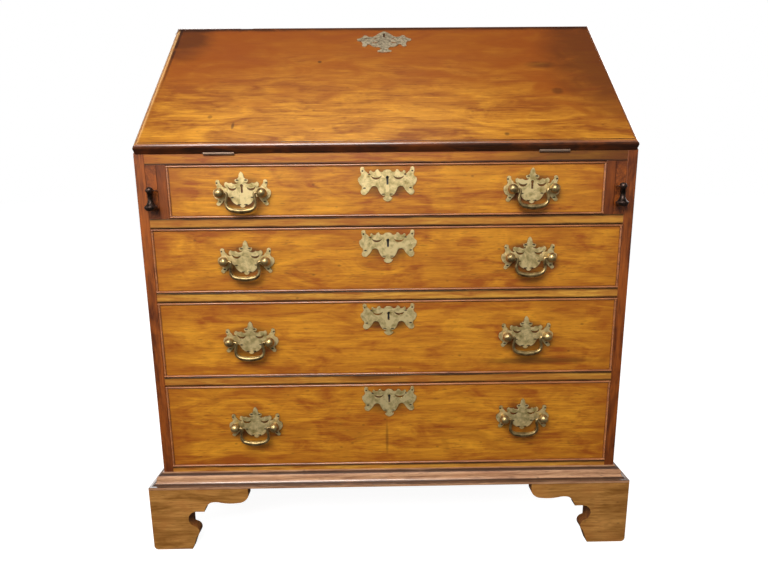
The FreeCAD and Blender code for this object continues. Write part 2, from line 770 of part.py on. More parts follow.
def make_fall():
    """Lipped fall with a thumbnail moulding round it, its escutcheon, lock and bolt."""
    section = straight([(0, 0), (tongue_length, 0), (tongue_length, fall_tongue), (fall_length, fall_tongue),
                        (fall_length, fall_thickness), (0, fall_thickness)])
    width = Vector(2 * fall_half, 0, 0)
    board = prism(section, lambda u, v: on_slope(u, v, -fall_half), width)
    cuts = [fall_edge_cutter(lambda e, t: on_slope(e, fall_thickness - t, -fall_half), width),
            fall_edge_cutter(lambda e, t: on_slope(fall_length - e, fall_thickness - t, -fall_half), width)]
    long_run = up_slope * (fall_length + 2 * overrun)
    through = off_slope * (fall_thickness + 2 * overrun)
    for side in (-1, 1):
        cuts.append(fall_edge_cutter(
            lambda e, t, s=side: on_slope(-overrun, fall_thickness - t, s * (fall_half - e)), long_run))
        cuts.append(corner_waste(
            lambda u, v, s=side: on_slope(fall_length - v, -overrun, s * (fall_half - u)), through))
    lock_half = lock_width / 2
    lock_low = tongue_length - fall_lock_height
    cuts.append(slope_box(lock_half, lock_low, tongue_length + overrun, -overrun, fall_lock_depth))
    outward = off_slope * fall_thickness
    cuts.append(keyhole(lambda u, v: on_slope(fall_keyhole + v, fall_lock_depth, u), outward))
    escutcheon_half = fall_escutcheon_width / 2
    pins = []
    for side in (-1, 1):
        across, up = fall_pin_shares
        seat = on_slope(fall_keyhole + up * escutcheon_half, fall_thickness + plate_thickness,
                        side * across * escutcheon_half)
        shank = rod(escutcheon_pin_radius, seat - off_slope * escutcheon_pin_length, seat)
        cuts.append(shank)
        pins.append((shank, rod(escutcheon_pin_head, seat, seat + off_slope * (plate_thickness / 2))))
    for x in (-hinge_spacing / 2, hinge_spacing / 2):
        half = hinge_length / 2
        cuts.append(slope_box(half, -overrun, hinge_leaf_length, -overrun, hinge_leaf_thickness, x))
        cuts.append(knuckle(x, half + knuckle_gap, knuckle_radius + knuckle_gap))
    write("fall_board", [board.cut(cuts)])

    off_plate = off_slope * plate_thickness
    fall_slots = [fall_ribbon_shares, fall_shoulder_shares, fall_wing_shares]
    plate = pierced_plate(fall_escutcheon_shares, fall_slots, fall_escutcheon_width,
                          lambda u, v: on_slope(fall_keyhole + v, fall_thickness, u), off_plate)
    plate = plate.cut(keyhole(lambda u, v: on_slope(fall_keyhole + v, fall_thickness, u), off_plate))
    solids = []
    for shank, head in pins:
        plate = plate.cut(shank)
        solids.append(shank.fuse(head).removeSplitter())
    write("fall_escutcheon", [plate] + solids)

    off_low, off_high = fall_bolt_offsets()
    bolt_half = bolt_width / 2
    tail = tongue_length - bolt_setback - bolt_length
    case = slope_box(lock_half, lock_low, tongue_length, 0, fall_lock_depth)
    channel = slope_box(bolt_half + bolt_fit, tail - bolt_fit, tongue_length + overrun, off_low - bolt_fit,
                        off_high + bolt_fit)
    write("fall_lock", [case.cut(channel)])
    write("fall_lock_bolt", [slope_box(bolt_half, tail, tongue_length - bolt_setback, off_low, off_high)])


def knuckle(x, half, radius):
    """Cylinder on the hinge axis, with its middle at x."""
    return rod(radius, hinge_axis + Vector(x - half, 0, 0), hinge_axis + Vector(x + half, 0, 0))


def make_fall_hinges():
    """Two butt hinges: end knuckles and pin on the bed, middle knuckle on the fall."""
    half = hinge_length / 2
    third = hinge_length / 3
    wide = knuckle_radius + knuckle_gap
    case_solids = []
    fall_solids = []
    for x in (-hinge_spacing / 2, hinge_spacing / 2):
        case_leaf = box(x - half, x + half, -hinge_forward, hinge_leaf_length - hinge_forward,
                        bed_top - hinge_leaf_thickness, bed_top)
        fall_leaf = slope_box(half, 0, hinge_leaf_length, 0, hinge_leaf_thickness, x)
        fall_leaf = fall_leaf.fuse(knuckle(x, third / 2, knuckle_radius))
        for end in (-third, third):
            case_leaf = case_leaf.fuse(knuckle(x + end, third / 2 - knuckle_gap, knuckle_radius))
            fall_leaf = fall_leaf.cut(knuckle(x + end, third / 2, wide))
        pin = knuckle(x, half, hinge_pin_radius)
        case_leaf = case_leaf.cut([knuckle(x, third / 2 + knuckle_gap, wide), pin])
        fall_leaf = fall_leaf.cut(knuckle(x, half, hinge_pin_radius + hinge_pin_fit))
        case_solids += [case_leaf, pin]
        fall_solids.append(fall_leaf)
    write("case_hinge_leaves", case_solids)
    write("fall_hinge_leaves", fall_solids)


def make_gallery():
    """Pigeonholes with arched valances over a row of pen drawers."""
    shelf_low = bed_top + pen_row_height
    shelf_top = shelf_low + gallery_board
    solids = [box(-inner_half, inner_half, gallery_front, back_face, shelf_low, shelf_top)]
    pen_pitch = (2 * inner_half + gallery_board) / pen_drawer_count
    for index in range(1, pen_drawer_count):
        left = index * pen_pitch - gallery_board - inner_half
        solids.append(box(left, left + gallery_board, gallery_front, back_face, bed_top, shelf_low))
    hole_pitch = (2 * inner_half + gallery_board) / pigeonhole_count
    width = hole_pitch - gallery_board
    arch = valance_arch_share * valance_height
    low = side_top - valance_height
    for index in range(pigeonhole_count):
        left = index * hole_pitch - inner_half
        if index:
            solids.append(box(left - gallery_board, left, gallery_front, back_face, shelf_top, side_top))
        quarter = width / 4
        spring = low + arch / 2
        outline = [(0, side_top, 0), (0, low, 0), (quarter / 2, low, 0),
                   (quarter, spring, valance_bulge_share), (width - quarter, spring, 0),
                   (width - quarter / 2, low, 0), (width, low, 0), (width, side_top, 0)]
        solids.append(prism(outline, lambda u, v, x=left: Vector(x + u, gallery_front, v),
                            Vector(0, valance_thickness, 0)))
    write("gallery", solids)


def make_pen_drawers():
    """Small drawers under the pigeonholes, each with a turned knob."""
    pitch = (2 * inner_half + gallery_board) / pen_drawer_count
    half = (pitch - gallery_board) / 2 - pen_side_gap
    low = bed_top + running_gap
    high = bed_top + pen_row_height - pen_top_gap
    face = gallery_front
    rear = pen_drawer_rear
    inside = half - pen_wall
    behind = face + pen_front_thickness
    floor_top = low + pen_bottom_thickness
    for index in range(pen_drawer_count):
        x = (index + 1 / 2) * pitch - gallery_board / 2 - inner_half
        solids = [box(x - half, x + half, face, behind, low, high),
                  box(x - half, x - inside, behind, rear, low, high),
                  box(x + inside, x + half, behind, rear, low, high),
                  box(x - inside, x + inside, rear - pen_wall, rear, floor_top, high),
                  box(x - inside, x + inside, behind, rear, low, floor_top)]
        middle = Vector(x, face, (low + high) / 2)
        ball = middle - Vector(0, pen_knob_reach - pen_knob_radius, 0)
        knob = Part.makeSphere(pen_knob_radius, ball).fuse(rod(pen_knob_stem, ball, middle))
        knob = knob.common(box(x - half, x + half, face - 2 * pen_knob_reach, face, low, high))
        solids.append(knob)
        write(f"pen_drawer_{index + 1}", solids)


os.makedirs("parts", exist_ok=True)
make_sides()
make_top_board()
make_bottom_and_back()
make_writing_bed()
make_rails_and_runners()
make_loper_partitions()
make_base_moulding()
make_bracket_feet()
make_drawers()
make_lopers()
make_fall()
make_fall_hinges()
make_gallery()
make_pen_drawers()
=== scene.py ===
"""Finishes, eased edges and small details of a slant-front writing bureau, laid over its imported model."""
import json
import math

import bmesh
import bpy
from mathutils import Matrix, Vector

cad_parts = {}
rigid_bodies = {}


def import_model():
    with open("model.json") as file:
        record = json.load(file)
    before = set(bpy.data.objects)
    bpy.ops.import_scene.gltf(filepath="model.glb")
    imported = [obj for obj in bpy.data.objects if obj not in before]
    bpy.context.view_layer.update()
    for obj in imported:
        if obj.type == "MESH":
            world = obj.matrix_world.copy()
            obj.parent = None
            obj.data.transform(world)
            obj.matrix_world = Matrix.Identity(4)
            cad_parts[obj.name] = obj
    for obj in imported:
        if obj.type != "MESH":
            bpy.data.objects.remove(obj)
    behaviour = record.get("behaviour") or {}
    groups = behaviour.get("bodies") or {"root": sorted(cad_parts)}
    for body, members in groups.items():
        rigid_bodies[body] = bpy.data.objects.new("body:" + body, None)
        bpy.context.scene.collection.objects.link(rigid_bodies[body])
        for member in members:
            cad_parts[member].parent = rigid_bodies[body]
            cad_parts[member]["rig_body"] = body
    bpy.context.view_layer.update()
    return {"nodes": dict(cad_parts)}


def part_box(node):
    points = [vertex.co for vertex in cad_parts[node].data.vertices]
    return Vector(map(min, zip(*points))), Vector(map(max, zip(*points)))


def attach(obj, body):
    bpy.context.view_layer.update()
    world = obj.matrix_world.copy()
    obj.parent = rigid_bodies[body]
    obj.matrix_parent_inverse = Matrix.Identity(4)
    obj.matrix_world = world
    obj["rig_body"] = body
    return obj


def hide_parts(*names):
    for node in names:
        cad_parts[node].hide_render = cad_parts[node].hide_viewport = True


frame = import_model()

bl_info = {
    "name": "Writing Bureau",
    "version": (1, 0, 0),
    "blender": (4, 5, 0),
    "location": "View3D > Sidebar > Bureau",
    "description": "Dresses a slant-front writing bureau in polished wood and old brass",
    "category": "Object",
}

MM = 0.001
DRAWERS = range(1, 5)
PEN_DRAWERS = range(1, 5)
BACK_BOARDS = 5
SIDES = ("left", "right")
WHITE = (1.0, 1.0, 1.0, 1.0)
FLOOR_REACH = 30.0

# Decimal places of a metre to which packed corners are compared
MICRON_DIGITS = 6

# Corners nearer than WELD are one, and an edge that turns by more than SHARP is rounded
WELD = 0.01 * MM
SHARP = math.radians(32)

# An edge that turns by more than CREASE breaks the shading, and a face over WIDE square metres is shaded flat
CREASE = math.radians(50)
WIDE = 0.0004

# Cosines that sort faces by the way they look: with the fall, to the left, up, level, and along a plate
IN_PLANE = 0.995
LEFTWARD = 0.2
SKYWARD = 0.1
LEVEL = 0.7
EDGEWISE = 0.5

# Turns that lay the grain along each axis
AXIS_TURNS = {"x": (0, 0, 0), "y": (0, 0, math.pi / 2), "z": (0, math.pi / 2, 0)}

# Half length of a mark that runs along or up a whole piece
ALONG = 4.0
UPWARD = 2.0

# Stains, scratches and worn corners, with a band of painted shade on the fall: place across and up, half
# width, half height, strength, colour
# The fall's first mark darkens its top: partly redder heartwood, partly painted shade for the dim room that
# the top of the fall mirrors
FALL_MARKS = ((0.000, 1.110, 0.950, 0.300, 0.80, "red"), (-0.400, 1.030, 0.280, 0.150, 0.80, "red"),
              (-0.420, 1.035, 0.070, 0.065, 0.60, "grime_and_shade"), (0.420, 0.990, 0.300, 0.220, 0.80, "red"),
              (0.440, 0.990, 0.140, 0.180, 0.50, "grime_and_shade"),
              (0.319, 0.968, 0.040, 0.012, 0.50, "grime_and_shade"), (0.336, 0.906, 0.015, 0.009, 0.45, "grime_and_shade"),
              (-0.134, 0.979, 0.006, 0.004, 0.70, "grime_and_shade"), (-0.329, 0.856, 0.006, 0.005, 0.45, "grime_and_shade"),
              (-0.283, 0.838, 0.004, 0.009, 0.60, "grime_and_shade"), (0.218, 0.817, 0.006, 0.004, 0.60, "grime_and_shade"),
              (-0.110, 0.786, 0.005, 0.012, 0.60, "grime_and_shade"), (-0.335, 0.803, 0.008, 0.003, 0.90, "scratch_and_highlight"))
DRAWER_MARKS = {1: (), 2: (), 3: ((0.300, 0.386, 0.150, 0.010, 0.55, "grime_and_shade"),),
                4: ((-0.005, 0.227, 0.004, 0.050, 0.40, "grime_and_shade"), (0.0, 0.160, 0.400, 0.020, 0.35, "grime_and_shade"))}
RAIL_MARKS = ((-0.040, 0.356, 0.080, 0.010, 0.55, "grime_and_shade"), (0.0, 0.772, 1.500, 0.050, 0.32, "red"),
              (0.390, 0.772, 0.250, 0.060, 0.60, "grime_and_shade"))

# Old dent in the top edge of the fall: place across, distance in front of the edge and above it, and radii
DENT_PLACE = (-0.301, 6 * MM, 3 * MM)
DENT_RADII = (20 * MM, 14 * MM, 6 * MM)

# Punched and engraved hollows, in shares of a plate's half width: across, up, half width, half height
HANDLE_PUNCHES = ((0.15, 0.46, 0.06, 0.026), (0.88, 0.36, 0.035, 0.030), (0.36, -0.15, 0.06, 0.024),
                  (0.12, -0.40, 0.07, 0.020), (0.80, -0.30, 0.05, 0.026))
ESCUTCHEON_PUNCHES = ((0.14, -0.57, 0.07, 0.018), (0.62, 0.10, 0.05, 0.020), (0.86, 0.22, 0.035, 0.030),
                      (0.80, -0.36, 0.05, 0.024))
PUNCH_DEPTH = 0.25 * MM


def linear(hex_colour):
    """Linear RGBA from an sRGB hex value."""
    channels = [int(hex_colour[start:start + 2], 16) / 255 for start in (1, 3, 5)]
    return [c / 12.92 if c <= 0.04045 else ((c + 0.055) / 1.055) ** 2.4 for c in channels] + [1.0]


def colour_prop(name, hex_colour, description):
    """Colour that a user can change, given as sRGB hex."""
    return bpy.props.FloatVectorProperty(name=name, description=description, subtype="COLOR", size=4,
                                         min=0.0, max=1.0, default=linear(hex_colour))


def length_prop(name, metres, description):
    """Length that a user can change, in metres."""
    return bpy.props.FloatProperty(name=name, description=description, unit="LENGTH", precision=5,
                                   default=metres)


class BureauWood(bpy.types.PropertyGroup):
    """Colours of the woods."""
    front_light: colour_prop("Front light", "#E09826", "Pale figure of the drawer fronts")
    front_dark: colour_prop("Front dark", "#9A4E0E", "Dark figure of the drawer fronts")
    fall_light: colour_prop("Fall light", "#DC982C", "Pale figure of the fall")
    fall_dark: colour_prop("Fall dark", "#88480C", "Dark figure of the fall")
    case_light: colour_prop("Case light", "#A8581E", "Pale figure of the sides and partitions")
    case_dark: colour_prop("Case dark", "#562408", "Dark figure of the sides and partitions")
    rail_light: colour_prop("Rail light", "#E4AA44", "Pale figure of the rails between the drawers")
    rail_dark: colour_prop("Rail dark", "#A25E20", "Dark figure of the rails between the drawers")
    bead_light: colour_prop("Bead light", "#CC8654", "Pale figure of the cock beads")
    bead_dark: colour_prop("Bead dark", "#884E2C", "Dark figure of the cock beads")
    # The fall's moulding: a lighter copy for its upper side and a darker one, reaching to grime, for its
    # under side, as painted light and shade
    edge_light: colour_prop("Fall edge light", "#A86C44", "Pale figure of the fall's moulding")
    edge_dark: colour_prop("Fall edge dark", "#5C301A", "Dark figure of the fall's moulding")
    strip_light: colour_prop("Strip light", "#DEAA7E", "Pale figure of the base moulding")
    strip_dark: colour_prop("Strip dark", "#966646", "Dark figure of the base moulding")
    foot_light: colour_prop("Foot light", "#D0944C", "Pale figure of the feet")
    foot_dark: colour_prop("Foot dark", "#87541A", "Dark figure of the feet")
    lining_light: colour_prop("Lining light", "#C29A62", "Pale figure of the unpolished linings")
    lining_dark: colour_prop("Lining dark", "#8A6236", "Dark figure of the unpolished linings")
    # Redder heartwood, and also the painted shade of the broad band along the top of the fall
    red: colour_prop("Red heart", "#8A420A", "Redder patches of the heartwood")
    # Old wax and dirt in the pores, and also painted shade in the gaps by the beads, in the base moulding's
    # corners, along the fall's rims and under its moulding
    grime_and_shade: colour_prop("Grime", "#2A1206", "Old wax and dirt in pores, gaps and stains")
    # Bare wood in scratches, and also the painted highlight on the lit left end of the fall
    scratch_and_highlight: colour_prop("Scratch", "#E8B878", "Bare wood in scratches and chips")


class BureauMetal(bpy.types.PropertyGroup):
    """Colours of the metals."""
    brass: colour_prop("Brass", "#F4DA9C", "Rubbed face of the plates")
    tarnish: colour_prop("Tarnish", "#9A8444", "Dull patches on the plates")
    worn: colour_prop("Worn brass", "#CDBB9A", "Rubbed face of the fall's plate, greyer than the others")
    worn_dark: colour_prop("Worn brass dark", "#5E4E3A", "Engraved and dull parts of the fall's plate")
    cast: colour_prop("Cast brass", "#C8AC74", "Rubbed parts of the posts and bails")
    cast_dark: colour_prop("Cast brass dark", "#54422A", "Unrubbed parts of the posts and bails")
    hinge: colour_prop("Hinge brass", "#8A7260", "Dull knuckles of the hinges")
    bronze: colour_prop("Bronze", "#5C4840", "Drop pulls of the lopers")
    steel: colour_prop("Steel", "#6E6A64", "Locks and their bolts")
    # Old polish in the plates' hollows, and also painted shadow on their edges
    dirt_and_shade: colour_prop("Dirt", "#1C140C", "Old polish in the punched hollows of the plates")


class BureauSizes(bpy.types.PropertyGroup):
    """Sizes of the details that are added to the model."""
    board_arris: length_prop("Board arris", 1.2 * MM, "Rounding of a board's worn edges")
    small_arris: length_prop("Small arris", 0.6 * MM, "Rounding of mouldings, fronts and thin boards")
    brass_arris: length_prop("Brass arris", 0.45 * MM, "Filed chamfer round a brass plate")
    # Reach of the painted shade along the cock beads
    bead_shade: length_prop("Bead grime", 6.0 * MM, "Reach of the dirt along the cock beads")
    # Reach of the painted shade on the rails beside the beads
    rail_shade: length_prop("Rail grime", 6.0 * MM, "Reach of the dirt on the rails beside the beads")
    strip_fillet: length_prop("Strip fillet", 2.5 * MM, "Narrow flat along the top of the base moulding")
    strip_fascia: length_prop("Strip fascia", 5.5 * MM, "Flat along the bottom of the base moulding")
    # Reach of the painted shade in the corners of the base moulding
    strip_shade: length_prop("Strip grime", 2.4 * MM, "Reach of the dirt in the corners of the base moulding")
    # Reach of the painted light and shade along the top and ends of the fall
    fall_rim_light_and_shade: length_prop("Fall rim", 7.5 * MM, "Reach of the dirt along the top and ends of the fall")
    back_seam: length_prop("Back seam", 3.0 * MM, "Reach of the dark gap between two back boards")
    # Dirt round the plates, which also gives them a painted shadow at their edges
    plate_dirt_and_shade: length_prop("Plate grime", 62.0 * MM, "Reach of the dirt beside a drawer's plates")
    handle_dirt_and_shade: length_prop("Handle grime", 42.0 * MM, "Reach of the dirt above and below a handle plate")
    handle_middle: length_prop("Handle middle", 6.0 * MM, "Middle of that dirt below the top of a bail")
    lock_dirt_and_shade: length_prop("Lock grime", 36.0 * MM, "Reach of the dirt above and below an escutcheon")
    lock_middle: length_prop("Lock middle", 34.0 * MM, "Middle of that dirt below the top of a front")
    plate_thickness: length_prop("Plate thickness", 1.6 * MM, "Thickness of the brass plates")
    handle_plate: length_prop("Handle plate", 102.5 * MM, "Width of a handle plate")
    escutcheon: length_prop("Escutcheon", 106.0 * MM, "Width of a drawer's escutcheon")
    keyhole_drop: length_prop("Keyhole drop", 24.6 * MM, "Keyhole below the top of a drawer with its beads")
    bail_top: length_prop("Bail top", 2.6 * MM, "Top of a bail above the middle of its posts")


class BureauStage(bpy.types.PropertyGroup):
    """Camera and light."""
    camera_place: bpy.props.FloatVectorProperty(
        name="Camera place", description="Where the camera stands", subtype="TRANSLATION", unit="LENGTH",
        default=(-0.0194, -1.2226, 0.7239))
    yaw: bpy.props.FloatProperty(name="Yaw", description="Turn to the right", subtype="ANGLE",
                                 default=math.radians(0.656))
    pitch: bpy.props.FloatProperty(name="Pitch", description="Tilt downwards", subtype="ANGLE",
                                   default=math.radians(10.946))
    roll: bpy.props.FloatProperty(name="Roll", description="Turn about the line of sight", subtype="ANGLE",
                                  default=math.radians(-0.577))
    lens: bpy.props.FloatProperty(name="Lens", description="Focal length on a 36 mm sensor", unit="CAMERA",
                                  default=24.375)
    key_power: bpy.props.FloatProperty(name="Key power", description="Watts of the main soft light",
                                       unit="POWER", default=32.0)
    floor_tone: colour_prop("Floor", "#9A9998", "Pale studio floor, which its own light brings up to white")
    floor_glow: bpy.props.FloatProperty(name="Floor glow", description="Own light of the pale floor",
                                        default=0.93)


def add(tree, kind, inputs=None, **settings):
    """One shader node with its settings, its values and the links into it."""
    made = tree.nodes.new(kind)
    for key, value in settings.items():
        setattr(made, key, value)
    for socket, value in (inputs or {}).items():
        if isinstance(value, bpy.types.NodeSocket):
            tree.links.new(value, made.inputs[socket])
        else:
            made.inputs[socket].default_value = value
    return made


def new_material(name):
    """Empty material and its tree."""
    material = bpy.data.materials.new(name)
    material.use_nodes = True
    material.node_tree.nodes.clear()
    return material, material.node_tree


def finish_material(tree, shader):
    """Output of a material, fed by its shader."""
    add(tree, "ShaderNodeOutputMaterial", {"Surface": shader.outputs[0]})


def polished_wood(name, light, dark, grain="x", shift=0.0, figure_mm=30, gloss=0.36, ends=0.5, marks=(),
                  coat=0.0):
    """Old fruitwood under wax: soft uneven figure, fine streaks, short dark flecks and a low sheen.

    shift moves the pattern so that boards differ, gloss is the middle roughness, ends is how dark the dirt at
    the board's ends is, marks are stains, scratches and painted light and shade, and coat is a fresher film
    of wax on small mouldings.
    """
    wood = bpy.context.scene.bureau_wood
    material, tree = new_material(name)
    coords = add(tree, "ShaderNodeTexCoord")
    board = add(tree, "ShaderNodeMapping", {"Vector": coords.outputs["Object"], "Rotation": AXIS_TURNS[grain],
                                            "Location": (shift, shift * 0.37, shift * 0.71)})
    # Length and width of one spot in mm, detail, roughness and distortion of each pattern. Real fibres are
    # about a tenth of a millimetre wide, so streaks and flecks are drawn wider, to show from a step away
    patterns = {"figure": (150, figure_mm, 5.0, 0.62, 1.4), "patch": (85, 45, 3.0, 0.6, 0.9),
                "streak": (70, 3.6, 4.0, 0.7, 0.3), "fleck": (17, 1.9, 1.0, 0.5, 0.0)}
    spots = {}
    for pattern, (length, width, detail, roughness, distortion) in patterns.items():
        wide = 1 / (width * MM)
        scale = (1 / (length * MM), wide, wide)
        drawn = add(tree, "ShaderNodeMapping", {"Vector": board.outputs[0], "Scale": scale})
        spots[pattern] = add(tree, "ShaderNodeTexNoise", {
            "Vector": drawn.outputs[0], "Scale": 1.0, "Detail": detail, "Roughness": roughness,
            "Distortion": distortion}).outputs["Fac"]
    tone = 0.0
    for pattern, weight in (("figure", 0.42), ("patch", 0.29), ("streak", 0.29)):
        tone = add(tree, "ShaderNodeMath", {0: spots[pattern], 1: weight, 2: tone},
                   operation="MULTIPLY_ADD").outputs[0]
    share = add(tree, "ShaderNodeMapRange", {"Value": tone, "From Min": 0.41, "From Max": 0.59})
    figured = add(tree, "ShaderNodeMix", {0: share.outputs[0], 6: dark, 7: light}, data_type="RGBA")
    redness = add(tree, "ShaderNodeMapRange", {"Value": spots["patch"], "From Min": 0.48, "From Max": 0.70,
                                               "To Max": 0.5})
    colour = add(tree, "ShaderNodeMix", {0: redness.outputs[0], 6: figured.outputs[2], 7: wood.red},
                 data_type="RGBA").outputs[2]
    flecked = add(tree, "ShaderNodeMapRange", {"Value": spots["fleck"], "From Min": 0.62, "From Max": 0.76,
                                               "To Max": 0.42})
    # Pin knots and old worm holes, one in about every 46 by 30 mm
    speck_scale = (1 / (46 * MM), 1 / (30 * MM), 1 / (30 * MM))
    specks = add(tree, "ShaderNodeMapping", {"Vector": board.outputs[0], "Scale": speck_scale})
    dots = add(tree, "ShaderNodeTexVoronoi", {"Vector": specks.outputs[0], "Scale": 1.0})
    specked = add(tree, "ShaderNodeMapRange", {"Value": dots.outputs["Distance"], "From Min": 0.09,
                                               "From Max": 0.03, "To Max": 0.45})
    # Wax and dirt gather towards the ends and edges of a board
    split = add(tree, "ShaderNodeSeparateXYZ", {0: coords.outputs["Generated"]})
    edge = 1.0
    for axis, stretch in (("X", 2.2), ("Z", 0.8)):
        far = add(tree, "ShaderNodeMath", {0: 1.0, 1: split.outputs[axis]}, operation="SUBTRACT")
        near = add(tree, "ShaderNodeMath", {0: far.outputs[0], 1: split.outputs[axis]}, operation="MINIMUM")
        scaled = add(tree, "ShaderNodeMath", {0: near.outputs[0], 1: stretch}, operation="MULTIPLY")
        edge = add(tree, "ShaderNodeMath", {0: edge, 1: scaled.outputs[0]}, operation="MINIMUM").outputs[0]
    uneven = add(tree, "ShaderNodeMath", {0: spots["figure"], 1: 0.16, 2: edge}, operation="MULTIPLY_ADD")
    dirtied = add(tree, "ShaderNodeMapRange", {"Value": uneven.outputs[0], "From Min": 0.24, "From Max": 0.06,
                                               "To Max": ends}, interpolation_type="SMOOTHSTEP")
    layers = [(flecked.outputs[0], wood.grime_and_shade), (specked.outputs[0], wood.grime_and_shade), (dirtied.outputs[0], dark)]
    # Marks paint stains and scratches, and some paint shade and highlights that stand in for light
    for x, z, half_x, half_z, strength, stain in marks:
        moved = add(tree, "ShaderNodeMapping", {"Vector": coords.outputs["Object"],
                                                "Scale": (1 / half_x, 0.0, 1 / half_z),
                                                "Location": (-x / half_x, 0.0, -z / half_z)})
        inside = add(tree, "ShaderNodeTexGradient", {"Vector": moved.outputs[0]}, gradient_type="SPHERICAL")
        ragged = add(tree, "ShaderNodeMath", {0: inside.outputs["Fac"], 1: spots["patch"]},
                     operation="MULTIPLY")
        depth = add(tree, "ShaderNodeMapRange", {"Value": ragged.outputs[0], "From Max": 0.34,
                                                 "To Max": strength}, interpolation_type="SMOOTHSTEP")
        layers.append((depth.outputs[0], getattr(wood, stain)))
    for cover, shade in layers:
        colour = add(tree, "ShaderNodeMix", {0: cover, 6: colour, 7: shade}, data_type="RGBA").outputs[2]
    rough = add(tree, "ShaderNodeMapRange", {"Value": tone, "From Min": 0.3, "From Max": 0.7,
                                             "To Min": gloss + 0.08, "To Max": gloss - 0.05})
    height = add(tree, "ShaderNodeMath", {0: spots["streak"], 1: flecked.outputs[0]}, operation="SUBTRACT")
    relief = add(tree, "ShaderNodeBump", {"Height": height.outputs[0], "Strength": 0.15,
                                          "Distance": 0.15 * MM})
    shader = add(tree, "ShaderNodeBsdfPrincipled", {
        "Base Color": colour, "Roughness": rough.outputs[0], "IOR": 1.48, "Normal": relief.outputs[0],
        "Coat Weight": coat, "Coat Roughness": 0.14})
    finish_material(tree, shader)
    return material


def dry_wood(name, grain, shift=0.0, marks=()):
    """Unpolished lining wood, planed by hand: pale, dusty, with open grain and no sheen."""
    wood = bpy.context.scene.bureau_wood
    return polished_wood(name, wood.lining_light, wood.lining_dark, grain, shift, figure_mm=22, gloss=0.72,
                         ends=0.35, marks=marks)


def worn_metal(name, face, dull, roughness, patch_mm, metallic=0.85):
    """Brass, bronze or steel, cast and filed: rubbed bright on its high parts and dull in its hollows."""
    material, tree = new_material(name)
    coords = add(tree, "ShaderNodeTexCoord")
    patches = add(tree, "ShaderNodeTexNoise", {"Vector": coords.outputs["Object"],
                                               "Scale": 1 / (patch_mm * MM), "Detail": 4.0,
                                               "Roughness": 0.65})
    # Rubbing marks are far finer than this, and are drawn as spots of 1.5 mm so that they show
    fine = add(tree, "ShaderNodeTexNoise", {"Vector": coords.outputs["Object"], "Scale": 1 / (1.5 * MM),
                                            "Detail": 2.0})
    hollow = add(tree, "ShaderNodeNewGeometry")
    rubbed = add(tree, "ShaderNodeMapRange", {"Value": hollow.outputs["Pointiness"], "From Min": 0.42,
                                              "From Max": 0.56})
    mixed = add(tree, "ShaderNodeMath", {0: patches.outputs["Fac"], 1: rubbed.outputs[0]},
                operation="MULTIPLY")
    share = add(tree, "ShaderNodeMapRange", {"Value": mixed.outputs[0], "From Min": 0.20, "From Max": 0.46})
    colour = add(tree, "ShaderNodeMix", {0: share.outputs[0], 6: dull, 7: face}, data_type="RGBA")
    rough = add(tree, "ShaderNodeMapRange", {"Value": fine.outputs["Fac"], "From Min": 0.3, "From Max": 0.7,
                                             "To Min": roughness - 0.07, "To Max": roughness + 0.12})
    relief = add(tree, "ShaderNodeBump", {"Height": patches.outputs["Fac"], "Strength": 0.3,
                                          "Distance": 0.25 * MM})
    shader = add(tree, "ShaderNodeBsdfPrincipled", {
        "Base Color": colour.outputs[2], "Metallic": metallic, "Roughness": rough.outputs[0],
        "Normal": relief.outputs[0]})
    finish_material(tree, shader)
    return material


def solids_of(mesh):
    """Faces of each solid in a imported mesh.

    The mesh lists one solid after another, and a solid ends where its faces close.
    """
    spots = [tuple(round(length, MICRON_DIGITS) for length in vertex.co) for vertex in mesh.vertices]
    solids = []
    faces = []
    unmatched = {}
    for polygon in mesh.polygons:
        corners = [spots[index] for index in polygon.vertices]
        faces.append(corners)
        for start, end in zip(corners, corners[1:] + corners[:1]):
            if start != end:
                pair, turn = ((start, end), 1) if start < end else ((end, start), -1)
                unmatched[pair] = unmatched.get(pair, 0) + turn
                if not unmatched[pair]:
                    del unmatched[pair]
        if not unmatched:
            solids.append(faces)
            faces = []
    if faces:
        solids.append(faces)
    return solids


def eased(faces, flat, arris, shortest):
    """Mesh of one solid, with its flats merged and its worn edges rounded where it has an arris."""
    corners = [corner for face in faces for corner in face]
    rings = [range(start, start + 3) for start in range(0, len(corners), 3)]
    mesh = bpy.data.meshes.new("solid")
    mesh.from_pydata(corners, [], rings)
    shape = bmesh.new()
    shape.from_mesh(mesh)
    bmesh.ops.remove_doubles(shape, verts=shape.verts, dist=WELD)
    if arris:
        bmesh.ops.dissolve_limit(shape, angle_limit=math.radians(flat), verts=shape.verts, edges=shape.edges)
        keen = [edge for edge in shape.edges if edge.is_manifold and edge.calc_face_angle() > SHARP
                and edge.calc_length() > shortest]
        bmesh.ops.bevel(shape, geom=keen, offset=arris, offset_type="OFFSET", segments=2, profile=0.5,
                        affect="EDGES", clamp_overlap=True)
    mesh.clear_geometry()
    shape.to_mesh(mesh)
    shape.free()
    return mesh


def cut_dent(piece, place, radii):
    """Cuts a rounded dent into a piece."""
    shape = bmesh.new()
    stretch = Matrix.LocRotScale(place, None, radii)
    bmesh.ops.create_icosphere(shape, subdivisions=4, radius=1.0, matrix=stretch)
    scoop = bpy.data.objects.new("scoop", bpy.data.meshes.new("scoop"))
    shape.to_mesh(scoop.data)
    shape.free()
    bpy.context.scene.collection.objects.link(scoop)
    piece.modifiers.new("dent", "BOOLEAN").object = scoop
    bpy.context.view_layer.update()
    cut = piece.evaluated_get(bpy.context.evaluated_depsgraph_get())
    piece.data = bpy.data.meshes.new_from_object(cut)
    piece.modifiers.clear()
    bpy.data.objects.remove(scoop)


